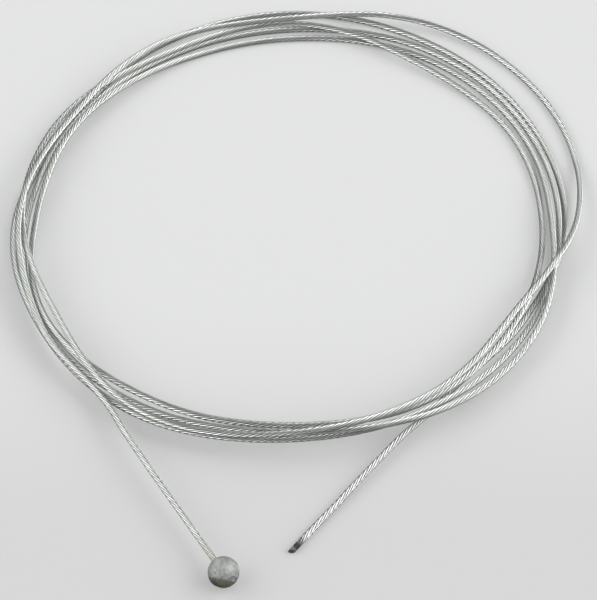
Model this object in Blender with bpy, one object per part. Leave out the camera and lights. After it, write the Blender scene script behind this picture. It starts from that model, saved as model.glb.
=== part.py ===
# Inner brake cable, lying as a loose coil: a twisted wire rope with a cast ball nipple on one end.
# Metres, +Z up, the coil's open side and both ends towards -Y.

from math import cos, dist, pi, radians, sin, sqrt, tan

import bmesh
import bpy
from mathutils import Matrix, Vector

MM = 0.001

# Wire rope
CABLE_DIAMETER = 1.5 * MM
CABLE_SIDES_RESOLUTION = 2
POINT_SPACING = 5 * MM
CUT_ANGLE = radians(38)

# Coil: an almost round ring of turns, a little longer in one direction than in the other
COIL_RADIUS = 64.3 * MM
COIL_OVAL = 1.8 * MM
OVAL_DIRECTION = radians(71)
COIL_CENTRE = Vector((-1.9 * MM, 22.7 * MM))
TURN_CLEARANCE = 0.15 * MM
TURN_PITCH = CABLE_DIAMETER + TURN_CLEARANCE

# The tails prop up the coil's front, so it stands a little off the floor there
FRONT_LIFT = 3 * MM
LIFT_DIRECTION = radians(270)
LIFT_HALF_WIDTH = radians(75)

# Where the cable lies beside the coil's middle line, in turn pitches, outwards positive.
# The turns begin at 300 degrees, by the cut end's tail, and there is a lane every 30 degrees,
# so a row is one turn. The first and last lanes only set the direction of the ends.
COIL_START = radians(300)
LANES_PER_TURN = 12
STATIONS_PER_LANE = 7
STATIONS_PER_TURN = LANES_PER_TURN * STATIONS_PER_LANE
LANES = [
    16.5,
    1.1, -0.2, 1.7, 1.9, 2.5, 3.4, 2.6, 0.3, 2.0, 1.3, 1.8, 0.7,
    1.4, 1.2, 0.8, 0.9, 1.1, 0.0, -0.2, -0.3, 0.2, 1.0, 0.4, 0.2,
    2.6, 2.5, -0.4, -0.2, -0.6, -1.9, -1.8, -1.1, -1.2, 0.5, -1.2, -1.7,
    0.1, -0.7, -1.6, -1.7, -2.5, 0.3, -0.3, 1.7, 0.7, -0.9, 1.9, 1.1,
    0.2, -1.2, 3.4, 6.1, 5.8, 0.5, 1.2, -0.1, 0.9, 1.7, 5.4,
    34.0,
]
HUMP_STATIONS = 3
STACKING_SWEEPS = 7

# Tails, from the cut end to the coil and from the coil to the nipple
CUT_TAIL = [
    Vector((-1.5, -73.1, 0.75)) * MM,
    Vector((3.3, -66.8, 0.80)) * MM,
    Vector((8.3, -60.6, 1.00)) * MM,
    Vector((13.1, -54.5, 1.35)) * MM,
    Vector((18.1, -48.5, 1.85)) * MM,
    Vector((23.1, -42.6, 2.35)) * MM,
]
NIPPLE_TAIL = [
    Vector((-33.8, -51.9, 4.10)) * MM,
    Vector((-30.7, -57.0, 3.90)) * MM,
    Vector((-27.6, -62.1, 3.70)) * MM,
    Vector((-24.5, -67.2, 3.55)) * MM,
]

# Nipple: a ball with two flats, turned about the cable's line
BALL_DIAMETER = 7 * MM
BALL_RADIUS = BALL_DIAMETER / 2
BACK_FLAT_DIAMETER = 3.4 * MM
ENTRY_FLAT_DIAMETER = 3.6 * MM
BORE_CLEARANCE = 0.15 * MM
BORE_DEPTH = 4.2 * MM
BORE_CHAMFER = 0.3 * MM
END_GAP = 0.25 * MM
NIPPLE_PLACE = Vector((-16.4 * MM, -80.6 * MM, BALL_RADIUS))
NIPPLE_HEADING = radians(-58.7)
ARC_STEPS = 26
ROUND_STEPS = 44

# The mould's parting line, a fine ridge right round the ball along the cable's line
RIDGE_HEIGHT = 0.12 * MM
RIDGE_WIDTH = 0.3 * MM
RIDGE_TILT = radians(22)
RIDGE_SIDES = 72

# The pit where the casting's gate was broken off, on the back flat
GATE_DIAMETER = 1.2 * MM
GATE_OFFSET = 0.9 * MM
GATE_DEPTH = 0.25 * MM

# Round cutters, and how far a cutter reaches past the face it cuts
BORE_SIDES = 24
CUT_PAST = 1 * MM

# Edges flatter than this are shaded smooth
SMOOTH_BELOW = radians(50)


def clear_scene():
    for scene_object in list(bpy.data.objects):
        bpy.data.objects.remove(scene_object)


def make_collection(name):
    collection = bpy.data.collections.new(name)
    bpy.context.scene.collection.children.link(collection)
    return collection


def metal(name, colour, roughness):
    material = bpy.data.materials.new(name)
    material.use_nodes = True
    shader = material.node_tree.nodes["Principled BSDF"]
    shader.inputs["Base Color"].default_value = (*colour, 1)
    shader.inputs["Metallic"].default_value = 0.9
    shader.inputs["Roughness"].default_value = roughness
    material.diffuse_color = (*colour, 1)
    return material


def catmull_rom(before, start, end, after, share):
    """The point on the smooth curve from start to end, share of the way along."""
    bend = (2 * before - 5 * start + 4 * end - after) * share ** 2
    twist = (3 * start - 3 * end + after - before) * share ** 3
    return 0.5 * (2 * start + (end - before) * share + bend + twist)


def through(points, spacing):
    """Points on one smooth curve through the given ones, no further apart than the spacing."""
    ends = [2 * points[0] - points[1], *points, 2 * points[-1] - points[-2]]
    curve = []
    for before, start, end, after in zip(ends, ends[1:], ends[2:], ends[3:]):
        parts = max(1, round(dist(start, end) / spacing))
        curve += [catmull_rom(before, start, end, after, part / parts) for part in range(parts)]
    return curve + [points[-1]]


def coil_middle(angle):
    """A point of the coil's middle line, seen from above."""
    radius = COIL_RADIUS + COIL_OVAL * cos(2 * (angle - OVAL_DIRECTION))
    return COIL_CENTRE + radius * Vector((cos(angle), sin(angle)))


def outward(angle):
    """The direction away from the coil, square to its middle line."""
    step = 0.01
    along = coil_middle(angle + step) - coil_middle(angle - step)
    return Vector((along.y, -along.x)).normalized()


def lane_at(turn):
    lane = turn * LANES_PER_TURN
    first = min(int(lane), len(LANES) - 4)
    return catmull_rom(*LANES[first:first + 4], lane - first)


def front_lift(angle):
    away = (angle - LIFT_DIRECTION + pi) % (2 * pi) - pi
    if abs(away) > LIFT_HALF_WIDTH:
        return 0
    return FRONT_LIFT * cos(away / LIFT_HALF_WIDTH * pi / 2) ** 2


def lowest_height(station, angle, lanes, heights):
    """The height where the cable rests on the floor or on the turns laid before it."""
    height = CABLE_DIAMETER / 2 + front_lift(angle)
    for below in range(station - STATIONS_PER_TURN, -1, -STATIONS_PER_TURN):
        beside = abs(lanes[station] - lanes[below]) * TURN_PITCH
        if beside < TURN_PITCH:
            height = max(height, heights[below] + sqrt(TURN_PITCH ** 2 - beside ** 2))
    return height


def window(values, station):
    return values[max(0, station - HUMP_STATIONS):station + HUMP_STATIONS + 1]


def stacked_heights(angles, lanes):
    """Lays each turn over the earlier ones in long low humps."""
    stations = range(len(lanes))
    heights = [0] * len(lanes)
    for sweep in range(STACKING_SWEEPS):
        lowest = [lowest_height(station, angles[station], lanes, heights) for station in stations]
        raised = [max(window(lowest, station)) for station in stations]
        heights = [sum(window(raised, station)) / len(window(raised, station)) for station in stations]
    return heights


def coil_points():
    station_count = (len(LANES) - 3) * STATIONS_PER_LANE + 1
    turns = [station / STATIONS_PER_TURN for station in range(station_count)]
    angles = [COIL_START + turn * 2 * pi for turn in turns]
    lanes = [lane_at(turn) for turn in turns]
    points = []
    for angle, lane, height in zip(angles, lanes, stacked_heights(angles, lanes)):
        place = coil_middle(angle) + outward(angle) * lane * TURN_PITCH
        points.append(place.to_3d() + Vector((0, 0, height)))
    return points


def nipple_axis():
    return Vector((cos(NIPPLE_HEADING), sin(NIPPLE_HEADING), 0))


def flat_distance(flat_diameter):
    """How far a flat of this diameter lies from the ball's centre."""
    return sqrt(BALL_RADIUS ** 2 - (flat_diameter / 2) ** 2)


def nipple_end_points():
    """The cable's last stretch, straight along the nipple's bore."""
    entry = NIPPLE_PLACE - nipple_axis() * flat_distance(ENTRY_FLAT_DIAMETER)
    bore_end = entry + nipple_axis() * (BORE_DEPTH - END_GAP)
    return [entry - nipple_axis() * POINT_SPACING, entry, bore_end]


def cable_route():
    """The cable's centre line from its cut end to its nipple, before it is centred."""
    return CUT_TAIL + coil_points() + NIPPLE_TAIL + nipple_end_points()


def centring_move(route):
    """Puts the middle of the whole outline over the origin."""
    reach = CABLE_DIAMETER / 2
    left = min(point.x for point in route) - reach
    right = max(point.x for point in route) + reach
    back = max(point.y for point in route) + reach
    front = NIPPLE_PLACE.y - BALL_RADIUS
    return Vector((-(left + right) / 2, -(front + back) / 2, 0))


def make_object(name, data, material, collection):
    new_object = bpy.data.objects.new(name, data)
    data.materials.append(material)
    collection.objects.link(new_object)
    return new_object


def cut_obliquely(mesh, tip, heading):
    """Slants the end face, as side cutters leave it."""
    side = Vector((heading.y, -heading.x, 0)).normalized()
    for vertex in mesh.vertices:
        if dist(vertex.co, tip) < 0.6 * CABLE_DIAMETER:
            vertex.co += heading * (vertex.co - tip).dot(side) * tan(CUT_ANGLE)


def weld(mesh):
    """Joins the tube's end caps to its wall."""
    shape = bmesh.new()
    shape.from_mesh(mesh)
    bmesh.ops.remove_doubles(shape, verts=shape.verts, dist=0.001 * MM)
    shape.to_mesh(mesh)
    shape.free()


def shade_round(mesh):
    mesh.shade_smooth()
    mesh.set_sharp_from_angle(angle=SMOOTH_BELOW)


def make_wire_rope(route, collection):
    points = through(route, POINT_SPACING)
    curve = bpy.data.curves.new("wire_rope_path", "CURVE")
    curve.dimensions = "3D"
    curve.twist_mode = "Z_UP"
    curve.bevel_depth = CABLE_DIAMETER / 2
    curve.bevel_resolution = CABLE_SIDES_RESOLUTION
    curve.use_fill_caps = True
    spline = curve.splines.new("POLY")
    spline.points.add(len(points) - 1)
    for spline_point, place in zip(spline.points, points):
        spline_point.co = (*place, 1)
    path = bpy.data.objects.new("wire_rope_path", curve)
    collection.objects.link(path)
    mesh = bpy.data.meshes.new_from_object(path.evaluated_get(bpy.context.evaluated_depsgraph_get()))
    bpy.data.objects.remove(path)
    weld(mesh)
    cut_obliquely(mesh, points[0], (points[0] - points[1]).normalized())
    shade_round(mesh)
    mesh.materials.clear()
    return make_object("wire_rope", mesh, metal("galvanised_steel", (0.55, 0.56, 0.56), 0.38), collection)


def make_solid(name, create, collection, **sizes):
    """One of Blender's primitives as an object of its own."""
    shape = bmesh.new()
    create(shape, **sizes)
    mesh = bpy.data.meshes.new(name)
    shape.to_mesh(mesh)
    shape.free()
    solid = bpy.data.objects.new(name, mesh)
    collection.objects.link(solid)
    return solid


def make_round_cutter(name, cutters, start, end, start_radius, end_radius, aside=0):
    """A cylinder or cone that lies along the nipple's line, here local X."""
    along = Matrix.Translation(((start + end) / 2, aside, 0)) @ Matrix.Rotation(pi / 2, 4, "Y")
    return make_solid(name, bmesh.ops.create_cone, cutters, cap_ends=True, segments=BORE_SIDES,
                      radius1=start_radius, radius2=end_radius, depth=end - start, matrix=along)


def make_flat_cutter(name, cutters, distance):
    """A block that takes the ball's cap off at this distance from its centre."""
    middle = distance + (BALL_RADIUS if distance > 0 else -BALL_RADIUS)
    return make_solid(name, bmesh.ops.create_cube, cutters, size=BALL_DIAMETER,
                      matrix=Matrix.Diagonal((1, 2, 2, 1)) @ Matrix.Translation((middle, 0, 0)))


def make_parting_fin(cutters):
    """The thin disc of metal that the two halves of the mould leave round the ball."""
    upright = Matrix.Rotation(RIDGE_TILT, 4, "X")
    radius = BALL_RADIUS + RIDGE_HEIGHT
    return make_solid("parting_fin", bmesh.ops.create_cone, cutters, cap_ends=True, segments=RIDGE_SIDES,
                      radius1=radius, radius2=radius, depth=RIDGE_WIDTH, matrix=upright)


def make_nipple_cutters(cutters):
    """What is cut out of the cast ball: two flats, the bore with its chamfer, and the gate's pit."""
    entry = -flat_distance(ENTRY_FLAT_DIAMETER)
    back = flat_distance(BACK_FLAT_DIAMETER)
    bore_radius = CABLE_DIAMETER / 2 + BORE_CLEARANCE
    chamfer_radius = bore_radius + BORE_CHAMFER
    chamfer_inner = entry + chamfer_radius - bore_radius / 2
    gate_radius = GATE_DIAMETER / 2
    return [
        make_flat_cutter("back_flat", cutters, back),
        make_flat_cutter("entry_flat", cutters, entry),
        make_round_cutter("bore", cutters, entry - CUT_PAST, entry + BORE_DEPTH, bore_radius, bore_radius),
        make_round_cutter("chamfer", cutters, entry - CUT_PAST, chamfer_inner,
                          chamfer_radius + CUT_PAST, bore_radius / 2),
        make_round_cutter("gate_pit", cutters, back - GATE_DEPTH, back + CUT_PAST,
                          gate_radius, gate_radius, GATE_OFFSET),
    ]


def combine(body, tool, operation):
    """Joins the tool to the body or cuts it out, and carries it with the body."""
    tool.parent = body
    tool.hide_render = True
    tool.display_type = "WIRE"
    step = body.modifiers.new(tool.name, "BOOLEAN")
    step.operation = operation
    step.solver = "EXACT"
    step.object = tool


def make_nipple(move, collection, cutters):
    """A cast ball with its parting line, then cut flat on two sides and bored for the cable."""
    lying = Matrix.Rotation(pi / 2, 4, "Y")
    nipple = make_solid("nipple", bmesh.ops.create_uvsphere, collection, u_segments=ROUND_STEPS,
                        v_segments=ARC_STEPS, radius=BALL_RADIUS, matrix=lying)
    shade_round(nipple.data)
    nipple.data.materials.append(metal("cast_zinc", (0.5, 0.5, 0.49), 0.5))
    nipple.location = NIPPLE_PLACE + move
    nipple.rotation_euler.z = NIPPLE_HEADING
    combine(nipple, make_parting_fin(cutters), "UNION")
    for cutter in make_nipple_cutters(cutters):
        combine(nipple, cutter, "DIFFERENCE")
    return nipple


def main():
    clear_scene()
    parts = make_collection("inner_cable")
    cutters = make_collection("cutters")
    route = cable_route()
    move = centring_move(route)
    wire_rope = make_wire_rope([point + move for point in route], parts)
    nipple = make_nipple(move, parts, cutters)
    length = sum(dist(start, end) for start, end in zip(route, route[1:]))
    print("cable length", round(length, 3), "m, made of", len(wire_rope.data.vertices), "vertices")
    print("nipple centre", [round(value, 6) for value in nipple.location])


main()
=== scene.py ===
# %% [markdown]
# # An inner brake cable
# This notebook dresses one bicycle part: a thin wire rope with a cast ball nipple on one end,
# lying in the loose coil that it was packed in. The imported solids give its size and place.
# Here it gets its twisted strands, its wires, its casting marks and its metals.

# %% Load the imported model
from math import atan2, cos, pi, radians, sin, sqrt, tan

import bmesh
import bpy
import numpy as np
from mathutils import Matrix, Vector, noise


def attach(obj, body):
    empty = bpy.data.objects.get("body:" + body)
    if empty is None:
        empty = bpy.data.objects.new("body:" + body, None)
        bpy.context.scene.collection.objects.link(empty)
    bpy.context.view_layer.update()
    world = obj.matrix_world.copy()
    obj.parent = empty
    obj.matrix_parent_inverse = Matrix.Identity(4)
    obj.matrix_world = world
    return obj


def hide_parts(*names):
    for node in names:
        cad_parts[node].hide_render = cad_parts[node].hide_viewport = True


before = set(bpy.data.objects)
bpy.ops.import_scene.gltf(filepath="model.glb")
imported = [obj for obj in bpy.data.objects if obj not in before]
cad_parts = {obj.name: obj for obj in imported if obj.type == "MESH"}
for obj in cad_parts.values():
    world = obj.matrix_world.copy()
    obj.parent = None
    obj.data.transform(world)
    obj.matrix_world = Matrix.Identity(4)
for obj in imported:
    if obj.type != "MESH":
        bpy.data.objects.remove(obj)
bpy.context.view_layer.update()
MM = 0.001

# %% [markdown]
# ## The camera
# The photograph looks down on the coil from the front through a long lens. A round ring seen from
# 50 degrees up looks about three quarters as high as it is wide, and so does the coil: that gives
# the camera's height. Its distance decides how much wider the front of the coil looks than its
# back, and the lens how large it all is. These are estimates: they were chosen first, and held
# while the coil's route was fitted to the photograph.

# %% Place the camera
PHOTO_WIDTH = 597
VIEW_ELEVATION = radians(50)
VIEW_DISTANCE = 0.7744
VIEW_TARGET = Vector((0.11 * MM, -5.34 * MM, 0))
FOCAL_PIXELS = 3292
SENSOR_WIDTH = 36
CLIP_START = 10 * MM

camera = bpy.data.objects.new("camera", bpy.data.cameras.new("camera"))
bpy.context.scene.collection.objects.link(camera)
bpy.context.scene.camera = camera
towards_camera = Vector((0, -cos(VIEW_ELEVATION), sin(VIEW_ELEVATION)))
camera.location = VIEW_TARGET + towards_camera * VIEW_DISTANCE
camera.rotation_euler = (-towards_camera).to_track_quat("-Z", "Y").to_euler()
camera.data.sensor_fit = "HORIZONTAL"
camera.data.sensor_width = SENSOR_WIDTH
camera.data.lens = FOCAL_PIXELS * SENSOR_WIDTH / PHOTO_WIDTH
camera.data.clip_start = CLIP_START
print("lens", round(camera.data.lens, 1), "mm, camera at", [round(x, 3) for x in camera.location])

# %% [markdown]
# ## The cable's route
# A wire rope is springy. Out of its bag it stays in about five loose turns, each lying on the ones
# laid before it, with both ends sticking out at the front. So the route is not drawn by hand but
# laid turn by turn: a lane number says how far each stretch lies beside the coil's middle line,
# and where two lanes are close the later turn rides over the earlier one in a long low hump.
# These are the same values as in the part's own source, so the rope lies where its solid is.

# %% The values of the rope and of its coil
CABLE_DIAMETER = 1.5 * MM
CABLE_RADIUS = CABLE_DIAMETER / 2
CUT_ANGLE = radians(38)
COIL_RADIUS = 64.3 * MM
COIL_OVAL = 1.8 * MM
OVAL_DIRECTION = radians(71)
COIL_CENTRE = Vector((-1.9 * MM, 22.7 * MM))
TURN_CLEARANCE = 0.15 * MM
TURN_PITCH = CABLE_DIAMETER + TURN_CLEARANCE
FRONT_LIFT = 3 * MM
LIFT_DIRECTION = radians(270)
LIFT_HALF_WIDTH = radians(75)
COIL_START = radians(300)
LANES_PER_TURN = 12
STATIONS_PER_LANE = 7
STATIONS_PER_TURN = LANES_PER_TURN * STATIONS_PER_LANE
LANES = [
    16.5,
    1.1, -0.2, 1.7, 1.9, 2.5, 3.4, 2.6, 0.3, 2.0, 1.3, 1.8, 0.7,
    1.4, 1.2, 0.8, 0.9, 1.1, 0.0, -0.2, -0.3, 0.2, 1.0, 0.4, 0.2,
    2.6, 2.5, -0.4, -0.2, -0.6, -1.9, -1.8, -1.1, -1.2, 0.5, -1.2, -1.7,
    0.1, -0.7, -1.6, -1.7, -2.5, 0.3, -0.3, 1.7, 0.7, -0.9, 1.9, 1.1,
    0.2, -1.2, 3.4, 6.1, 5.8, 0.5, 1.2, -0.1, 0.9, 1.7, 5.4,
    34.0,
]
HUMP_STATIONS = 3
STACKING_SWEEPS = 7
print(len(LANES), "lanes,", LANES_PER_TURN, "in each turn")

# %% The tails' points, from the cut end to the coil and from the coil to the nipple
CUT_TAIL = [
    Vector((-1.5, -73.1, 0.75)) * MM,
    Vector((3.3, -66.8, 0.80)) * MM,
    Vector((8.3, -60.6, 1.00)) * MM,
    Vector((13.1, -54.5, 1.35)) * MM,
    Vector((18.1, -48.5, 1.85)) * MM,
    Vector((23.1, -42.6, 2.35)) * MM,
]
NIPPLE_TAIL = [
    Vector((-33.8, -51.9, 4.10)) * MM,
    Vector((-30.7, -57.0, 3.90)) * MM,
    Vector((-27.6, -62.1, 3.70)) * MM,
    Vector((-24.5, -67.2, 3.55)) * MM,
]
BALL_RADIUS = 3.5 * MM
BACK_FLAT_RADIUS = 1.7 * MM
ENTRY_FLAT_RADIUS = 1.8 * MM
BORE_DEPTH = 4.2 * MM
END_GAP = 0.25 * MM
ENTRY_STRAIGHT = 5 * MM
NIPPLE_PLACE = Vector((-16.4 * MM, -80.6 * MM, BALL_RADIUS))
NIPPLE_HEADING = radians(-58.7)
print("tails of", len(CUT_TAIL), "and", len(NIPPLE_TAIL), "points")


# %% Helpers that lay the coil
def catmull_rom(before, start, end, after, share):
    """The point on the smooth curve from start to end, share of the way along."""
    bend = (2 * before - 5 * start + 4 * end - after) * share ** 2
    twist = (3 * start - 3 * end + after - before) * share ** 3
    return 0.5 * (2 * start + (end - before) * share + bend + twist)


def coil_middle(angle):
    """A point of the coil's middle line, seen from above."""
    radius = COIL_RADIUS + COIL_OVAL * cos(2 * (angle - OVAL_DIRECTION))
    return COIL_CENTRE + radius * Vector((cos(angle), sin(angle)))


def outward(angle):
    """The direction away from the coil, square to its middle line."""
    step = 0.01
    along = coil_middle(angle + step) - coil_middle(angle - step)
    return Vector((along.y, -along.x)).normalized()


def lane_at(turn):
    """How far beside the middle line the rope lies, this many turns from its start."""
    lane = turn * LANES_PER_TURN
    first = min(int(lane), len(LANES) - 4)
    return catmull_rom(*LANES[first:first + 4], lane - first)


# %% Helpers that stack the turns
def front_lift(angle):
    """The tails prop up the coil's front, so it stands a little off the floor there."""
    away = (angle - LIFT_DIRECTION + pi) % (2 * pi) - pi
    if abs(away) > LIFT_HALF_WIDTH:
        return 0
    return FRONT_LIFT * cos(away / LIFT_HALF_WIDTH * pi / 2) ** 2


def lowest_height(station, angle, lanes, heights):
    """The height where the cable rests on the floor or on the turns laid before it."""
    height = CABLE_RADIUS + front_lift(angle)
    for below in range(station - STATIONS_PER_TURN, -1, -STATIONS_PER_TURN):
        beside = abs(lanes[station] - lanes[below]) * TURN_PITCH
        if beside < TURN_PITCH:
            height = max(height, heights[below] + sqrt(TURN_PITCH ** 2 - beside ** 2))
    return height


def window(values, station):
    """The values at the stations around this one."""
    return values[max(0, station - HUMP_STATIONS):station + HUMP_STATIONS + 1]


def stacked_heights(angles, lanes):
    """Lays each turn over the earlier ones in long low humps."""
    stations = range(len(lanes))
    heights = [0] * len(lanes)
    for sweep in range(STACKING_SWEEPS):
        lowest = [lowest_height(station, angles[station], lanes, heights) for station in stations]
        raised = [max(window(lowest, station)) for station in stations]
        heights = [sum(window(raised, station)) / len(window(raised, station)) for station in stations]
    return heights


# %% Lay the coil and join the tails to it
def coil_points():
    station_count = (len(LANES) - 3) * STATIONS_PER_LANE + 1
    turns = [station / STATIONS_PER_TURN for station in range(station_count)]
    angles = [COIL_START + turn * 2 * pi for turn in turns]
    lanes = [lane_at(turn) for turn in turns]
    points = []
    for angle, lane, height in zip(angles, lanes, stacked_heights(angles, lanes)):
        place = coil_middle(angle) + outward(angle) * lane * TURN_PITCH
        points.append(place.to_3d() + Vector((0, 0, height)))
    return points


def flat_distance(flat_radius):
    """How far a flat of this radius lies from the ball's centre."""
    return sqrt(BALL_RADIUS ** 2 - flat_radius ** 2)


def centring_move(route):
    """Puts the middle of the whole outline over the origin."""
    left = min(point.x for point in route) - CABLE_RADIUS
    right = max(point.x for point in route) + CABLE_RADIUS
    back = max(point.y for point in route) + CABLE_RADIUS
    front = NIPPLE_PLACE.y - BALL_RADIUS
    return Vector((-(left + right) / 2, -(front + back) / 2, 0))


nipple_axis = Vector((cos(NIPPLE_HEADING), sin(NIPPLE_HEADING), 0))
entry_place = NIPPLE_PLACE - nipple_axis * flat_distance(ENTRY_FLAT_RADIUS)
bore_end = entry_place + nipple_axis * (BORE_DEPTH - END_GAP)
nipple_end = [entry_place - nipple_axis * ENTRY_STRAIGHT, entry_place, bore_end]
laid = CUT_TAIL + coil_points() + NIPPLE_TAIL + nipple_end
move = centring_move(laid)
route = [point + move for point in reversed(laid)]
nipple_centre = NIPPLE_PLACE + move
print("route of", len(route), "points, nipple at", [round(x / MM, 2) for x in nipple_centre], "mm")

# %% [markdown]
# ## The rope's mesh
# The rope has six strands laid round a straight one. In the photograph a strand comes round again
# every 1.6 mm, so the whole twist goes once round in six and a half diameters, and it is left-hand.
# A round tube with stripes would look right only from far away, and all the wires as meshes would
# take millions of faces. So the outside of the six strands is modelled as one skin with six round
# lobes, whose points follow the strands along the rope. The material draws the wires on them.

# %% Even steps along the route
LAY_LENGTH = 6.5 * CABLE_DIAMETER
RINGS_PER_LAY = 12
RING_SPACING = LAY_LENGTH / RINGS_PER_LAY
FINE_STEPS = 24


def smooth_line(points, steps):
    """Close points on one smooth curve through the given ones."""
    ends = [2 * points[0] - points[1], *points, 2 * points[-1] - points[-2]]
    curve = []
    for before, start, end, after in zip(ends, ends[1:], ends[2:], ends[3:]):
        curve += [catmull_rom(before, start, end, after, step / steps) for step in range(steps)]
    return np.array(curve + [points[-1]])


def spaced_evenly(line, spacing):
    """The same line with points at equal distances along it, and those distances."""
    lengths = np.linalg.norm(np.diff(line, axis=0), axis=1)
    reached = np.concatenate([[0], np.cumsum(lengths)])
    count = round(reached[-1] / spacing) + 1
    along = np.linspace(0, reached[-1], count)
    places = np.stack([np.interp(along, reached, numbers) for numbers in line.T], axis=1)
    return places, along


ring_centres, ring_along = spaced_evenly(smooth_line(route, FINE_STEPS), RING_SPACING)
CABLE_LENGTH = float(ring_along[-1])
print("rope length", round(CABLE_LENGTH, 3), "m in", len(ring_along), "rings")

# %% The section of six strands
STRANDS = 6
STRAND_RADIUS = CABLE_RADIUS / 3
STEPS_PER_STRAND = 6
GROOVE_ANGLE = radians(120)


def rope_section():
    """Points round the six strands, as angle and distance from the rope's middle."""
    angles = []
    distances = []
    for strand in range(STRANDS):
        for step in range(STEPS_PER_STRAND):
            round_strand = GROOVE_ANGLE * (2 * step / STEPS_PER_STRAND - 1)
            x = CABLE_RADIUS - STRAND_RADIUS + STRAND_RADIUS * cos(round_strand)
            y = STRAND_RADIUS * sin(round_strand)
            angles.append(atan2(y, x) + strand * 2 * pi / STRANDS)
            distances.append(sqrt(x * x + y * y))
    return np.array(angles), np.array(distances)


section_angles, section_distances = rope_section()
sides = len(section_angles)
nearest, furthest = section_distances.min() / MM, section_distances.max() / MM
print("section of", sides, "points,", round(nearest, 3), "to", round(furthest, 3), "mm from the middle")

# %% [markdown]
# ### The cut end
# The rope's end is fused as it is cut, so that it can't fray: the last few millimetres go black and
# the strands melt together. A Boolean cut would slant the end as well, but it would break up the
# strand map that the wires are drawn by. So the lobes flatten towards the tip, and the points of
# the last ring slide along the rope until their face is slanted.

# %% Twist the section along the route
FUSED_LENGTH = 4 * MM
FUSED_SHARE = 0.55


def ring_frames(centres):
    """For each ring the direction along the rope, a level one across it and the one above both."""
    along = np.gradient(centres, axis=0)
    along /= np.linalg.norm(along, axis=1)[:, None]
    across = np.cross([0, 0, 1], along)
    across /= np.linalg.norm(across, axis=1)[:, None]
    return along, across, np.cross(along, across)


def rope_vertices():
    along, across, above = ring_frames(ring_centres)
    to_tip = CABLE_LENGTH - ring_along
    fused = FUSED_SHARE * np.clip(1 - to_tip / FUSED_LENGTH, 0, 1)
    mean_distance = section_distances.mean()
    distances = section_distances + fused[:, None] * (mean_distance - section_distances)
    angles = section_angles - 2 * pi * ring_along[:, None] / LAY_LENGTH
    sideways = (distances * np.cos(angles))[..., None] * across[:, None]
    upwards = (distances * np.sin(angles))[..., None] * above[:, None]
    places = ring_centres[:, None] + sideways + upwards
    slant = ((places[-1] - ring_centres[-1]) @ -across[-1]) * tan(CUT_ANGLE)
    places[-1] += slant[:, None] * along[-1]
    return places.reshape(-1, 3)


# %% The rope's faces and the strand map
def rope_faces(rings):
    faces = []
    for ring in range(rings - 1):
        for side in range(sides):
            following = (side + 1) % sides
            here = ring * sides
            faces.append((here + side, here + following, here + sides + following, here + sides + side))
    return faces


def map_strands(mesh, wall_faces):
    """Maps X to the strand's number plus the share across it, and Y to the metres from the cut end."""
    layer = mesh.uv_layers.new(name="strand_map")
    side = np.tile(np.arange(sides), wall_faces // sides)
    ring = np.repeat(np.arange(wall_faces // sides), sides)
    start = side / STEPS_PER_STRAND
    end = (side + 1) / STEPS_PER_STRAND
    near = CABLE_LENGTH - ring_along[ring]
    far = CABLE_LENGTH - ring_along[ring + 1]
    corners = np.stack([start, near, end, near, end, far, start, far], axis=1)
    places = np.zeros((len(mesh.loops), 2), np.float32)
    places[:wall_faces * 4] = corners.reshape(-1, 2)
    layer.data.foreach_set("uv", places.ravel())


def add_caps(faces, vertices):
    """Closes both ends with a fan round a middle point."""
    first_middle = len(vertices)
    last = (len(ring_centres) - 1) * sides
    for side in range(sides):
        faces.append((first_middle, (side + 1) % sides, side))
    for side in range(sides):
        faces.append((first_middle + 1, last + side, last + (side + 1) % sides))
    return np.concatenate([vertices, ring_centres[[0, -1]]])


# %% Make the rope's skin
def make_wire_rope():
    faces = rope_faces(len(ring_centres))
    wall_faces = len(faces)
    vertices = add_caps(faces, rope_vertices())
    mesh = bpy.data.meshes.new("wire_rope_twisted")
    mesh.from_pydata(vertices.tolist(), [], faces)
    map_strands(mesh, wall_faces)
    cut_face = np.zeros(len(faces), np.int32)
    cut_face[-sides:] = 1
    mesh.polygons.foreach_set("material_index", cut_face)
    mesh.polygons.foreach_set("use_smooth", cut_face == 0)
    mesh.update()
    piece = bpy.data.objects.new("wire_rope_twisted", mesh)
    bpy.context.scene.collection.objects.link(piece)
    return piece


wire_rope = make_wire_rope()
print("rope of", len(wire_rope.data.polygons), "faces")

# %% Say what the rope is
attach(wire_rope, "root")
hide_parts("wire_rope")

# %% [markdown]
# ## The nipple's mesh
# The nipple is a zinc ball cast straight onto the rope's end. It has a flat where the rope goes in,
# a smaller one at the back with the broken-off gate, and a fine ridge where the two halves of the
# mould met. A ball cut by Booleans has knife edges, and a cast one never does, so the body is a
# turned section with small rounds on its edges. Each point is then moved along its normal, which
# gives the ridge, the pit and the skin of a casting.

# %% The turned section
EDGE_ROUND = 0.25 * MM
ROUND_POINTS = 6
SECTION_SPACING = 0.07 * MM
ROUND_STEPS = 260
ARC_STEPS = 60
# The zinc grips the rope, so the bore is a little tighter than the strands' tops
BORE_TIGHTNESS = 0.97
BORE_RADIUS = CABLE_RADIUS * BORE_TIGHTNESS
BORE_SHOWN = 1 * MM
COLLAR_RADIUS = 1.15 * MM
COLLAR_HEIGHT = 0.12 * MM


def rounded(points, radius):
    """The outline with an arc in place of each inner corner."""
    outline = [points[0]]
    for before, corner, after in zip(points, points[1:], points[2:]):
        back = before - corner
        on = after - corner
        reach = min(radius, back.length / 2, on.length / 2)
        start = corner + back.normalized() * reach
        end = corner + on.normalized() * reach
        for step in range(ROUND_POINTS + 1):
            share = step / ROUND_POINTS
            outline.append((1 - share) ** 2 * start + 2 * share * (1 - share) * corner + share ** 2 * end)
    outline.append(points[-1])
    return outline


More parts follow.
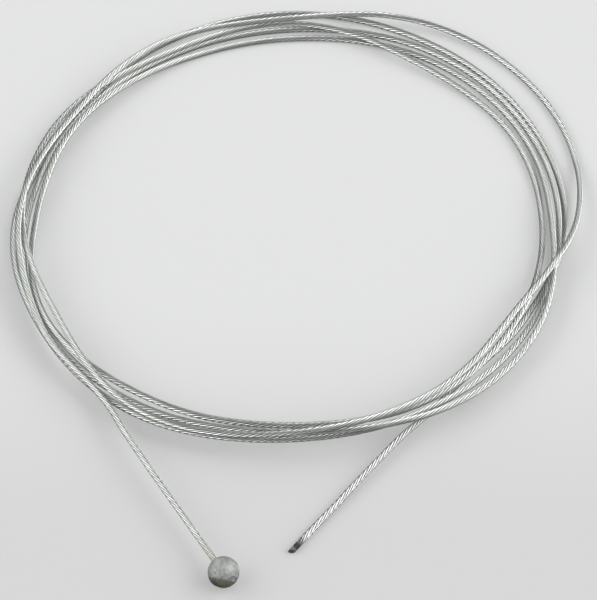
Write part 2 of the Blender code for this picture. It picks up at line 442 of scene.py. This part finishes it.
def nipple_section():
    """The section as (distance along the rope's line, radius), from inside the bore to the back."""
    entry = -flat_distance(ENTRY_FLAT_RADIUS)
    back = flat_distance(BACK_FLAT_RADIUS)
    first = atan2(ENTRY_FLAT_RADIUS, entry)
    last = atan2(BACK_FLAT_RADIUS, back)
    inner = [
        Vector((entry + BORE_SHOWN, 0)),
        Vector((entry + BORE_SHOWN, BORE_RADIUS)),
        Vector((entry - COLLAR_HEIGHT, BORE_RADIUS)),
        Vector((entry, COLLAR_RADIUS)),
    ]
    arc = []
    for step in range(ARC_STEPS + 1):
        angle = first + (last - first) * step / ARC_STEPS
        arc.append(BALL_RADIUS * Vector((cos(angle), sin(angle))))
    return rounded(inner + arc + [Vector((back, 0))], EDGE_ROUND)


nipple_outline = spaced_evenly(np.array(nipple_section()), SECTION_SPACING)[0]
print("nipple section of", len(nipple_outline), "points")

# %% Turn the section round the rope's line
def turned(outline, steps):
    """Vertices and faces of the outline turned about local X."""
    angles = np.arange(steps) * 2 * pi / steps
    inner = outline[1:-1]
    wall = np.stack([
        np.broadcast_to(inner[None, :, 0], (steps, len(inner))),
        np.outer(np.cos(angles), inner[:, 1]),
        np.outer(np.sin(angles), inner[:, 1]),
    ], axis=2).reshape(-1, 3)
    ends = np.array([[outline[0, 0], 0, 0], [outline[-1, 0], 0, 0]])
    faces = []
    for ring in range(steps):
        here = 2 + ring * len(inner)
        there = 2 + (ring + 1) % steps * len(inner)
        faces.append((0, there, here))
        faces.append((1, here + len(inner) - 1, there + len(inner) - 1))
        for step in range(len(inner) - 1):
            faces.append((here + step, there + step, there + step + 1, here + step + 1))
    return np.concatenate([ends, wall]), faces


# %% [markdown]
# ### The casting's marks
# The ridge is thin and uneven, as flash is after tumbling. The pit is a shallow broken patch, rough
# inside, with a raised lip round it. The rest of the skin has soft dents about a millimetre wide,
# and finer ones on them. A bump alone would leave the ball's outline a perfect circle, so each mark
# is a real height over the smooth body.

# %% The parting ridge
RIDGE_HEIGHT = 0.11 * MM
RIDGE_HALF_WIDTH = 0.16 * MM
RIDGE_CREST = 0.02 * MM
RIDGE_TILT = radians(22)
RIDGE_LEFT = 0.75
RIDGE_WEAR = 0.5
RIDGE_WEAR_SIZE = 1.7 * MM
# Distances from the ball's centre, in ball radii, over which the ridge begins
BALL_BEGINS = (0.93, 0.985)


def smoothstep(low, high, value):
    """From 0 to 1 between two levels, with soft ends."""
    share = min(1, max(0, (value - low) / (high - low)))
    return share * share * (3 - 2 * share)


def ridge_height(place):
    """The parting line, on the ball only and a little uneven."""
    across = abs(-place.y * sin(RIDGE_TILT) + place.z * cos(RIDGE_TILT))
    if across > RIDGE_HALF_WIDTH:
        return 0
    wear = RIDGE_LEFT + RIDGE_WEAR * noise.noise(place / RIDGE_WEAR_SIZE)
    on_ball = smoothstep(*BALL_BEGINS, place.length / BALL_RADIUS)
    return RIDGE_HEIGHT * wear * on_ball * smoothstep(RIDGE_HALF_WIDTH, RIDGE_CREST, across)


# %% The broken gate
GATE_RADIUS = 0.6 * MM
GATE_OFFSET = 0.9 * MM
GATE_DEPTH = 0.25 * MM
GATE_REACH = 0.4 * MM
GATE_RAGGED = 0.22
GATE_RAGGED_SIZE = 0.5 * MM
LIP_HEIGHT = 0.07 * MM
PIT_LEVEL = 0.7
PIT_ROUGH = 0.6
PIT_GRAIN = 0.22 * MM
# Distances from the gate's middle, in gate radii
PIT_WALL = (0.7, 1.05)
LIP_RISES = (0.9, 1.1)
LIP_FALLS = (1.1, 1.45)


def gate_height(place):
    """The pit and its lip on the back flat."""
    if place.x < flat_distance(BACK_FLAT_RADIUS) - GATE_REACH:
        return 0
    ragged = GATE_RADIUS * (1 + GATE_RAGGED * noise.noise(place / GATE_RAGGED_SIZE))
    away = Vector((place.y - GATE_OFFSET, place.z)).length / ragged
    inside = 1 - smoothstep(*PIT_WALL, away)
    lip = smoothstep(*LIP_RISES, away) * (1 - smoothstep(*LIP_FALLS, away))
    broken = PIT_LEVEL + PIT_ROUGH * noise.noise(place / PIT_GRAIN)
    return LIP_HEIGHT * lip - GATE_DEPTH * inside * broken


# %% The skin of a casting
DENT_HEIGHT = 0.030 * MM
DENT_SIZE = 1.1 * MM
DENT_LAYERS = 3
LAYER_FADE = 1.0
LAYER_SHRINK = 2.0
GRAIN_HEIGHT = 0.008 * MM
GRAIN_SIZE = 0.3 * MM


def skin_height(place):
    """Soft dents, nearly all inwards, so that the ball stays inside its solid."""
    dents = noise.fractal(place / DENT_SIZE, LAYER_FADE, LAYER_SHRINK, DENT_LAYERS)
    grain = noise.noise(place / GRAIN_SIZE)
    return DENT_HEIGHT * (dents - 1) + GRAIN_HEIGHT * grain


# %% Make the nipple
# Inside the bore, out to this many bore radii, the points stay where they are
BORE_MARGIN = 1.05


def make_nipple():
    vertices, faces = turned(nipple_outline, ROUND_STEPS)
    mesh = bpy.data.meshes.new("nipple_cast")
    mesh.from_pydata(vertices.tolist(), [], faces)
    mesh.update()
    normals = [vertex.normal.copy() for vertex in mesh.vertices]
    for vertex, normal in zip(mesh.vertices, normals):
        place = vertex.co.copy()
        height = skin_height(place) + ridge_height(place) + gate_height(place)
        if sqrt(place.y ** 2 + place.z ** 2) > BORE_RADIUS * BORE_MARGIN or place.x > 0:
            vertex.co = place + normal * height
    mesh.shade_smooth()
    piece = bpy.data.objects.new("nipple_cast", mesh)
    piece.location = nipple_centre
    piece.rotation_euler.z = NIPPLE_HEADING
    bpy.context.scene.collection.objects.link(piece)
    return piece


nipple = make_nipple()
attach(nipple, "root")
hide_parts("nipple")
print("nipple of", len(nipple.data.polygons), "faces")

# %% [markdown]
# ## Shared shader effects
# Both metals are zinc on the outside, and old zinc is never one even grey. Pale patches of bloom,
# the dull salt that zinc grows in damp air, lie over brighter metal. Each material could have noise
# of its own, but the effect is the same in all of them. So it is a node group, and each material
# gives it the size and the strength of the patches.

# %% Node helpers
def add_node(tree, kind, place, **settings):
    node = tree.nodes.new(kind)
    node.location = place
    for name, value in settings.items():
        setattr(node, name, value)
    return node


def link(tree, source, target):
    tree.links.new(source, target)


def fill(tree, socket, value):
    """Links the value to the socket, or sets it there."""
    if isinstance(value, bpy.types.NodeSocket):
        link(tree, value, socket)
    else:
        socket.default_value = value


def add_math(tree, operation, place, *values):
    """A Math node, with numbers or sockets as its inputs."""
    node = add_node(tree, "ShaderNodeMath", place, operation=operation)
    for socket, value in zip(node.inputs, values):
        fill(tree, socket, value)
    return node.outputs[0]


def add_mix(tree, place, factor, first, second):
    """A colour Mix node. Colours are sockets or three numbers."""
    node = add_node(tree, "ShaderNodeMix", place, data_type="RGBA")
    fill(tree, node.inputs[0], factor)
    for socket, colour in ((node.inputs[6], first), (node.inputs[7], second)):
        fill(tree, socket, (*colour, 1) if isinstance(colour, tuple) else colour)
    return node.outputs[2]


def add_range(tree, place, value, low, high, new_low, new_high):
    """A smooth step of the value between two levels."""
    node = add_node(tree, "ShaderNodeMapRange", place, interpolation_type="SMOOTHSTEP")
    link(tree, value, node.inputs["Value"])
    for name, number in (("From Min", low), ("From Max", high), ("To Min", new_low), ("To Max", new_high)):
        node.inputs[name].default_value = number
    return node.outputs["Result"]


def add_bump(tree, place, height, strength, distance, shader):
    """A Bump node between the height and the shader's normal."""
    bump = add_node(tree, "ShaderNodeBump", place)
    bump.inputs["Strength"].default_value = strength
    bump.inputs["Distance"].default_value = distance
    link(tree, height, bump.inputs["Height"])
    link(tree, bump.outputs["Normal"], shader.inputs["Normal"])


# %% Groups and metals
def new_group(name, inputs, outputs):
    """A shader node group with named sockets: name, kind and, for an input, its value."""
    group = bpy.data.node_groups.new(name, "ShaderNodeTree")
    for label, kind, value in inputs:
        socket = group.interface.new_socket(label, in_out="INPUT", socket_type=kind)
        socket.default_value = value
    for label, kind in outputs:
        group.interface.new_socket(label, in_out="OUTPUT", socket_type=kind)
    start = add_node(group, "NodeGroupInput", (-900, 0))
    end = add_node(group, "NodeGroupOutput", (700, 0))
    return group, start, end


def new_metal(name, metallic):
    material = bpy.data.materials.new(name)
    material.use_nodes = True
    shader = material.node_tree.nodes["Principled BSDF"]
    shader.location = (900, 0)
    material.node_tree.nodes["Material Output"].location = (1200, 0)
    shader.inputs["Metallic"].default_value = metallic
    return material, material.node_tree, shader


# %% The zinc bloom group
BLOOM_SIZE = 500.0
BLOOM_AMOUNT = 0.5
PATCH_DETAIL = 5
PATCH_ROUGHNESS = 0.62
PATCH_EDGES = (0.42, 0.62)
GRAIN_DETAIL = 3
GRAIN_FINENESS = 9.0
NOISE_MIDDLE = 0.5


def make_bloom_group():
    group, start, end = new_group(
        "zinc_bloom",
        [("Size", "NodeSocketFloat", BLOOM_SIZE), ("Amount", "NodeSocketFloat", BLOOM_AMOUNT)],
        [("Bloom", "NodeSocketFloat"), ("Grain", "NodeSocketFloat")],
    )
    coordinates = add_node(group, "ShaderNodeTexCoord", (-900, 300))
    patches = add_node(group, "ShaderNodeTexNoise", (-600, 300))
    patches.inputs["Detail"].default_value = PATCH_DETAIL
    patches.inputs["Roughness"].default_value = PATCH_ROUGHNESS
    grain = add_node(group, "ShaderNodeTexNoise", (-600, -100))
    grain.inputs["Detail"].default_value = GRAIN_DETAIL
    link(group, coordinates.outputs["Object"], patches.inputs["Vector"])
    link(group, coordinates.outputs["Object"], grain.inputs["Vector"])
    link(group, start.outputs["Size"], patches.inputs["Scale"])
    finer = add_math(group, "MULTIPLY", (-800, -200), start.outputs["Size"], GRAIN_FINENESS)
    link(group, finer, grain.inputs["Scale"])
    shaped = add_range(group, (-300, 300), patches.outputs["Fac"], *PATCH_EDGES, 0.0, 1.0)
    bloom = add_math(group, "MULTIPLY", (0, 200), shaped, start.outputs["Amount"])
    link(group, bloom, end.inputs["Bloom"])
    link(group, grain.outputs["Fac"], end.inputs["Grain"])
    return group


zinc_bloom = make_bloom_group()


def place_bloom(tree, place, size, amount):
    node = add_node(tree, "ShaderNodeGroup", place, node_tree=zinc_bloom)
    node.inputs["Size"].default_value = size
    node.inputs["Amount"].default_value = amount
    return node.outputs["Bloom"], node.outputs["Grain"]


print("group:", zinc_bloom.name, "with", len(zinc_bloom.nodes), "nodes")

# %% [markdown]
# ## The galvanised wires
# Each strand is several wires, and its outer ones show as fine rounds that run nearly straight
# along the rope, because they are laid against the strand's own twist. A stripe texture laid over
# the whole rope would slip off the strands in the bends. The strand map made above stays on them:
# it gives the place across a strand and along the rope. From it come the wires' rounds for the
# bump, a shade for each wire, so that one is duller than the next, and painted shade in the grooves.
# The same map gives the distance to the cut end, where heat has turned the zinc black, with a
# grey fade up the rope and a paler colour at the very tip. At the nipple the casting's flux has
# left the last centimetre duller and a little yellow.

# %% The wires across a strand
WIRES_ACROSS = 3
WIRE_LAY = 9 * MM


def lay_wires(tree, strand_place, to_cut):
    """The round of each wire, from 0 in the gaps to 1 on its top, and a shade for each wire."""
    spread = add_math(tree, "MULTIPLY", (-1100, 350), strand_place, WIRES_ACROSS)
    drift = add_math(tree, "MULTIPLY", (-1100, 200), to_cut, 1 / WIRE_LAY)
    wires = add_math(tree, "ADD", (-900, 200), spread, drift)
    wire_place = add_math(tree, "FRACT", (-700, 300), wires)
    half_turn = add_math(tree, "MULTIPLY", (-500, 300), wire_place, pi)
    wire_round = add_math(tree, "SINE", (-300, 300), half_turn)
    wire_number = add_math(tree, "FLOOR", (-700, 100), wires)
    picked = add_node(tree, "ShaderNodeTexWhiteNoise", (-500, 100), noise_dimensions="1D")
    link(tree, wire_number, picked.inputs["W"])
    return wire_round, picked.outputs["Value"]


# %% The painted shade in the grooves
# Places across a strand go from 0 to 1, and the edges are distances from its middle line
STRAND_MIDDLE = 0.5
GROOVE_EDGES = (0.27, 0.48)
GROOVE_SHADE_STRENGTH = 0.9


def find_groove_shade(tree, strand_place):
    """How much painted shade darkens a point between two strands."""
    across = add_math(tree, "FRACT", (-1300, 0), strand_place)
    off_middle = add_math(tree, "SUBTRACT", (-900, -150), across, STRAND_MIDDLE)
    away = add_math(tree, "ABSOLUTE", (-700, -150), off_middle)
    groove = add_range(tree, (-500, -150), away, *GROOVE_EDGES, 0.0, 1.0)
    return add_math(tree, "MULTIPLY", (100, -100), groove, GROOVE_SHADE_STRENGTH)


# %% The marks of heat
BURNT_FULLY = 2 * MM
BURNT_LENGTH = 3 * MM
BURNT_RAGGED = 1.6 * MM
SINGED_LENGTH = 6 * MM
SINGED_STRENGTH = 0.95
# The last millimetre at the tip is coloured paler than the black soot
PALE_TIP_FULLY = 0.36 * MM
PALE_TIP_LENGTH = 1.2 * MM
PALE_TIP_STRENGTH = 0.8


def find_heat_marks(tree, to_cut, grain):
    """How burnt and singed the rope is, and how pale its very tip, by the distance to its cut end."""
    uneven = add_math(tree, "SUBTRACT", (-300, -500), grain, NOISE_MIDDLE)
    ragged = add_math(tree, "MULTIPLY", (-100, -500), uneven, BURNT_RAGGED)
    edge = add_math(tree, "ADD", (100, -500), to_cut, ragged)
    burnt = add_range(tree, (300, -500), edge, BURNT_FULLY, BURNT_LENGTH, 1.0, 0.0)
    singed = add_range(tree, (300, -750), edge, BURNT_FULLY, SINGED_LENGTH, SINGED_STRENGTH, 0.0)
    pale_tip = add_range(tree, (300, -1000), edge, PALE_TIP_FULLY, PALE_TIP_LENGTH, PALE_TIP_STRENGTH, 0.0)
    return burnt, singed, pale_tip


# %% The galvanised steel's colours
STEEL_BRIGHT = (0.77, 0.79, 0.765)
STEEL_DULL = (0.64, 0.66, 0.637)
STEEL_BLOOM = (0.65, 0.67, 0.647)
# The darkest colour below is painted shade for the grooves between strands
GROOVE_PAINTED_SHADE = (0.11, 0.115, 0.108)
SINGED_STEEL = (0.17, 0.168, 0.155)
PALE_TIP_SOOT = (0.20, 0.20, 0.19)
FLUX_STAIN = (0.52, 0.525, 0.46)
SOOT = (0.030, 0.029, 0.027)

# %% The galvanised steel material
STEEL_BLOOM_SIZE = 420.0
STEEL_BLOOM_AMOUNT = 0.5
FLUX_LENGTH = 14 * MM
STEEL_ROUGHNESS = 0.30
ROUGHER_BY_BLOOM = 0.14
ROUGHER_BY_FLUX = 0.16
SOOT_ROUGHNESS = 0.7
GRAIN_IN_BUMP = 0.25
WIRE_BUMP = 0.18
WIRE_BUMP_HEIGHT = 0.04 * MM


def make_galvanised_steel():
    material, tree, shader = new_metal("galvanised_steel", 1.0)
    strand_map = add_node(tree, "ShaderNodeUVMap", (-1700, 0), uv_map="strand_map")
    parts = add_node(tree, "ShaderNodeSeparateXYZ", (-1500, 0))
    link(tree, strand_map.outputs["UV"], parts.inputs["Vector"])
    strand_place, to_cut = parts.outputs["X"], parts.outputs["Y"]
    wire_round, wire_shade = lay_wires(tree, strand_place, to_cut)
    bloom, grain = place_bloom(tree, (-700, -400), STEEL_BLOOM_SIZE, STEEL_BLOOM_AMOUNT)
    burnt, singed, pale_tip = find_heat_marks(tree, to_cut, grain)
    flux = add_range(tree, (300, -1250), to_cut, CABLE_LENGTH - FLUX_LENGTH, CABLE_LENGTH, 0.0, 1.0)

    clean = add_mix(tree, (-100, 100), wire_shade, STEEL_DULL, STEEL_BRIGHT)
    bloomed = add_mix(tree, (100, 100), bloom, clean, STEEL_BLOOM)
    # The grooves between strands are darkened here with painted shade
    groove_shaded = add_mix(tree, (300, 100), find_groove_shade(tree, strand_place), bloomed, GROOVE_PAINTED_SHADE)
    stained = add_mix(tree, (400, 100), flux, groove_shaded, FLUX_STAIN)
    heated = add_mix(tree, (500, 0), singed, stained, SINGED_STEEL)
    soot = add_mix(tree, (500, -200), pale_tip, SOOT, PALE_TIP_SOOT)
    link(tree, add_mix(tree, (700, 0), burnt, heated, soot), shader.inputs["Base Color"])

    bloom_rough = add_math(tree, "MULTIPLY_ADD", (300, -250), bloom, ROUGHER_BY_BLOOM, STEEL_ROUGHNESS)
    flux_rough = add_math(tree, "MULTIPLY_ADD", (450, -350), flux, ROUGHER_BY_FLUX, bloom_rough)
    heat = add_math(tree, "MAXIMUM", (400, -600), burnt, singed)
    soot_rough = add_math(tree, "MULTIPLY", (500, -250), heat, SOOT_ROUGHNESS)
    roughest = add_math(tree, "MAXIMUM", (700, -250), flux_rough, soot_rough)
    link(tree, roughest, shader.inputs["Roughness"])
    link(tree, add_math(tree, "SUBTRACT", (700, -400), 1.0, burnt), shader.inputs["Metallic"])

    faint_grain = add_math(tree, "MULTIPLY", (100, 550), grain, GRAIN_IN_BUMP)
    height = add_math(tree, "ADD", (300, 400), wire_round, faint_grain)
    add_bump(tree, (700, 400), height, WIRE_BUMP, WIRE_BUMP_HEIGHT, shader)
    return material


wire_rope.data.materials.append(make_galvanised_steel())

# %% [markdown]
# ### The face at the cut
# The slanted face at the tip shows the strands' ends, melted into one rough grey patch. The end of
# each wire could be drawn there, but none can be told apart. So the face takes the bloom group with
# coarse dark patches, and a strong bump.

# %% The cut face's material
CUT_STEEL = (0.42, 0.42, 0.41)
CUT_SCALE = (0.15, 0.15, 0.15)
CUT_BLOOM_SIZE = 900.0
CUT_BLOOM_AMOUNT = 0.9
CUT_ROUGHNESS = 0.42
CUT_BUMP = 0.6
CUT_BUMP_HEIGHT = 0.05 * MM


def make_cut_face():
    material, tree, shader = new_metal("cut_face", 1.0)
    bloom, grain = place_bloom(tree, (0, 0), CUT_BLOOM_SIZE, CUT_BLOOM_AMOUNT)
    link(tree, add_mix(tree, (400, 0), bloom, CUT_STEEL, CUT_SCALE), shader.inputs["Base Color"])
    shader.inputs["Roughness"].default_value = CUT_ROUGHNESS
    add_bump(tree, (600, -300), grain, CUT_BUMP, CUT_BUMP_HEIGHT, shader)
    return material


wire_rope.data.materials.append(make_cut_face())
print("rope materials:", [material.name for material in wire_rope.data.materials])

# %% [markdown]
# ## The cast zinc
# The ball was tumbled after casting: a satin grey with cloudy paler and darker patches. Its gloss
# changes from patch to patch more than its colour does, which is what makes metal look real. Its
# lower front carries a painted dark reflection: a dark olive cap with a sharp and slightly ragged
# edge. A painted image could show that cap, but it is simpler found by how far a point reaches in
# one direction from the ball's middle. The broken gate is fresh zinc, so it stays bright inside the
# painted reflection.

# %% The painted dark reflection and the fresh zinc
# The dark cap on the ball's lower front is a painted dark reflection in the zinc's colour
DARK_REFLECTION_SIDE = Vector((0.584, -0.569, -0.580))
DARK_REFLECTION_LEVEL = 0.45 * BALL_RADIUS
DARK_REFLECTION_EDGE = 0.2 * MM
REFLECTION_AND_GATE_RAGGED = 0.6 * MM
DARK_REFLECTION_STRENGTH = 0.88
FRESH_FULLY = 0.5 * GATE_RADIUS
FRESH_RADIUS = 0.8 * GATE_RADIUS
FRESH_STRENGTH = 0.9


def measure(tree, place, operation, target):
    """Each point's distance from the target, or its reach towards it, in the piece's own space."""
    coordinates = add_node(tree, "ShaderNodeTexCoord", (place[0] - 200, place[1]))
    node = add_node(tree, "ShaderNodeVectorMath", place, operation=operation)
    link(tree, coordinates.outputs["Object"], node.inputs[0])
    node.inputs[1].default_value = target
    return node.outputs["Value"]


# The mask of the painted dark reflection on the ball's lower front
def find_painted_reflection(tree, ragged):
    reach = measure(tree, (-900, 600), "DOT_PRODUCT", DARK_REFLECTION_SIDE)
    edge = add_math(tree, "ADD", (-300, 500), reach, ragged)
    start, full = DARK_REFLECTION_LEVEL - DARK_REFLECTION_EDGE, DARK_REFLECTION_LEVEL + DARK_REFLECTION_EDGE
    return add_range(tree, (-100, 500), edge, start, full, 0.0, DARK_REFLECTION_STRENGTH)


def find_fresh_zinc(tree, ragged):
    gate_middle = (flat_distance(BACK_FLAT_RADIUS), GATE_OFFSET, 0)
    from_gate = measure(tree, (-900, 850), "DISTANCE", gate_middle)
    edge = add_math(tree, "ADD", (-500, 850), from_gate, ragged)
    return add_range(tree, (-300, 850), edge, FRESH_FULLY, FRESH_RADIUS, FRESH_STRENGTH, 0.0)


# %% The cast zinc material
ZINC_PALE = (0.57, 0.595, 0.575)
ZINC_MID = (0.465, 0.485, 0.47)
ZINC_FRESH = (0.80, 0.80, 0.79)
ZINC_DARK = (0.30, 0.30, 0.29)
# The olive colours of the painted dark reflection
PAINTED_REFLECTION_OLIVE = (0.29, 0.285, 0.225)
PAINTED_REFLECTION_DEEP = (0.16, 0.158, 0.14)
ZINC_METALLIC = 0.9
ZINC_BLOOM_SIZE = 520.0
ZINC_BLOOM_AMOUNT = 0.85
ZINC_STAIN_SIZE = 1400.0
ZINC_STAIN_AMOUNT = 0.6
ZINC_ROUGHNESS = 0.68
ZINC_ROUGHER = 0.12
ZINC_BUMP = 0.35
ZINC_BUMP_HEIGHT = 0.03 * MM


def make_cast_zinc():
    material, tree, shader = new_metal("cast_zinc", ZINC_METALLIC)
    bloom, grain = place_bloom(tree, (-700, 200), ZINC_BLOOM_SIZE, ZINC_BLOOM_AMOUNT)
    stain = place_bloom(tree, (-700, -100), ZINC_STAIN_SIZE, ZINC_STAIN_AMOUNT)[0]
    uneven = add_math(tree, "SUBTRACT", (-600, 300), grain, NOISE_MIDDLE)
    ragged = add_math(tree, "MULTIPLY", (-500, 400), uneven, REFLECTION_AND_GATE_RAGGED)

    clouded = add_mix(tree, (-300, 200), bloom, ZINC_MID, ZINC_PALE)
    stained = add_mix(tree, (0, 200), stain, clouded, ZINC_DARK)
    reflected_olive = add_mix(tree, (100, 500), bloom, PAINTED_REFLECTION_DEEP, PAINTED_REFLECTION_OLIVE)
    # Here the painted dark reflection is mixed over the zinc's own colour
    with_painted_reflection = add_mix(tree, (300, 300), find_painted_reflection(tree, ragged), stained, reflected_olive)
    colour = add_mix(tree, (500, 300), find_fresh_zinc(tree, ragged), with_painted_reflection, ZINC_FRESH)
    link(tree, colour, shader.inputs["Base Color"])

    roughness = add_math(tree, "MULTIPLY_ADD", (0, -100), bloom, ZINC_ROUGHER, ZINC_ROUGHNESS)
    link(tree, roughness, shader.inputs["Roughness"])
    add_bump(tree, (500, -300), grain, ZINC_BUMP, ZINC_BUMP_HEIGHT, shader)
    return material


nipple.data.materials.append(make_cast_zinc())
print("nipple material:", nipple.data.materials[0].name)

# %% [markdown]
# ## The studio
# The photograph was taken on a pale table between two large soft lights, one on each side, with a
# weaker one high behind the coil. A stretch of rope that runs towards the camera mirrors the side
# lights and looks bright. A stretch that runs across mirrors the dark room over it and looks grey.
# Lamps could stand for the side lights, but a bright part of the surround has softer edges, and
# two numbers set how far it reaches. The table is pale to the camera, with painted shade making it
# a little darker at the front, and it glows a little, which keeps the shadows faint. Reflections see
# it dark, and that draws the thin dark line between two turns.

# %% The floor
FLOOR_HALF_SIZE = 3
FLOOR_BACK = (0.44, 0.442, 0.443)
# The front colour is painted shade: the floor's colour darkens towards the front
FLOOR_FRONT_SHADED = (0.37, 0.37, 0.37)
FLOOR_SHINE = 0.24
FLOOR_SHADE_FADE = (-0.075, 0.0)
FLOOR_IN_METAL = (0.12, 0.12, 0.115)
FLOOR_ROUGHNESS = 0.9
FLOOR_GLOSS = 0.1
WHITE = (1, 1, 1, 1)


def make_floor_material():
    material = bpy.data.materials.new("studio_floor")
    material.use_nodes = True
    tree = material.node_tree
    shader = tree.nodes["Principled BSDF"]
    shader.inputs["Roughness"].default_value = FLOOR_ROUGHNESS
    shader.inputs["Specular IOR Level"].default_value = FLOOR_GLOSS
    coordinates = add_node(tree, "ShaderNodeTexCoord", (-1100, -200))
    parts = add_node(tree, "ShaderNodeSeparateXYZ", (-900, -200))
    link(tree, coordinates.outputs["Object"], parts.inputs["Vector"])
    backwards = add_range(tree, (-700, -200), parts.outputs["Y"], *FLOOR_SHADE_FADE, 0.0, 1.0)
    pale = add_mix(tree, (-500, -200), backwards, FLOOR_FRONT_SHADED, FLOOR_BACK)
    path = add_node(tree, "ShaderNodeLightPath", (-600, 0))
    colour = add_mix(tree, (-300, 0), path.outputs["Is Glossy Ray"], pale, FLOOR_IN_METAL)
    link(tree, colour, shader.inputs["Base Color"])
    shader.inputs["Emission Color"].default_value = WHITE
    shine = add_math(tree, "MULTIPLY", (-300, -400), path.outputs["Is Camera Ray"], FLOOR_SHINE)
    link(tree, shine, shader.inputs["Emission Strength"])
    return material


def make_floor():
    mesh = bpy.data.meshes.new("floor")
    shape = bmesh.new()
    bmesh.ops.create_grid(shape, x_segments=1, y_segments=1, size=FLOOR_HALF_SIZE)
    shape.to_mesh(mesh)
    shape.free()
    floor = bpy.data.objects.new("floor", mesh)
    bpy.context.scene.collection.objects.link(floor)
    mesh.materials.append(make_floor_material())


make_floor()
print("floor", 2 * FLOOR_HALF_SIZE, "m wide")

# %% The surround
SURROUND_STRENGTH = 1.25
HORIZON_GLOW = 0.15
OVERHEAD_GLOW = 0.04
LEFT_GLOW = 2.1
RIGHT_GLOW = 2.9
# The edges of the lit parts, on a ball of radius 1 round the coil
LEFT_EDGES = (-0.76, -0.32)
RIGHT_EDGES = (0.35, 0.76)
BEHIND_EDGES = (0.6, 0.92)
UPWARD_EDGES = (0.05, 0.5)


def make_surround():
    world = bpy.data.worlds.new("studio")
    world.use_nodes = True
    tree = world.node_tree
    background = tree.nodes["Background"]
    coordinates = add_node(tree, "ShaderNodeTexCoord", (-1100, 0))
    parts = add_node(tree, "ShaderNodeSeparateXYZ", (-900, 0))
    link(tree, coordinates.outputs["Generated"], parts.inputs["Vector"])
    left_glow = add_range(tree, (-700, 150), parts.outputs["X"], *LEFT_EDGES, LEFT_GLOW, 0.0)
    right_glow = add_range(tree, (-700, -150), parts.outputs["X"], *RIGHT_EDGES, 0.0, RIGHT_GLOW)
    not_behind = add_range(tree, (-700, -400), parts.outputs["Y"], *BEHIND_EDGES, 1.0, 0.0)
    near_right = add_math(tree, "MULTIPLY", (-500, -250), right_glow, not_behind)
    sides_glow = add_math(tree, "ADD", (-500, 50), left_glow, near_right)
    above = add_math(tree, "ADD", (-300, 0), sides_glow, OVERHEAD_GLOW)
    upwards = add_range(tree, (-700, -650), parts.outputs["Z"], *UPWARD_EDGES, 0.0, 1.0)
    raised = add_math(tree, "MULTIPLY", (-300, -400), above, upwards)
    glow = add_math(tree, "ADD", (-200, -200), raised, HORIZON_GLOW)
    strength = add_math(tree, "MULTIPLY", (-100, 0), glow, SURROUND_STRENGTH)
    link(tree, strength, background.inputs["Strength"])
    background.inputs["Color"].default_value = WHITE
    bpy.context.scene.world = world


make_surround()
print("surround:", bpy.context.scene.world.name)

# %% The light high behind the coil
KEY_PLACE = Vector((0.1, 0.8, 1.1))
KEY_SIZE = 1.6
KEY_POWER = 2.5


def add_area_light(name, place, size, power):
    """A soft disc that lights the scene, but that the metal doesn't mirror."""
    light = bpy.data.lights.new(name, "AREA")
    light.shape = "DISK"
    light.size = size
    light.energy = power
    lamp = bpy.data.objects.new(name, light)
    lamp.location = place
    lamp.rotation_euler = (-place).to_track_quat("-Z", "Y").to_euler()
    lamp.visible_glossy = False
    bpy.context.scene.collection.objects.link(lamp)


add_area_light("key", KEY_PLACE, KEY_SIZE, KEY_POWER)
bpy.context.scene.view_settings.view_transform = "Standard"
print("key light", round(KEY_PLACE.length, 2), "m away")
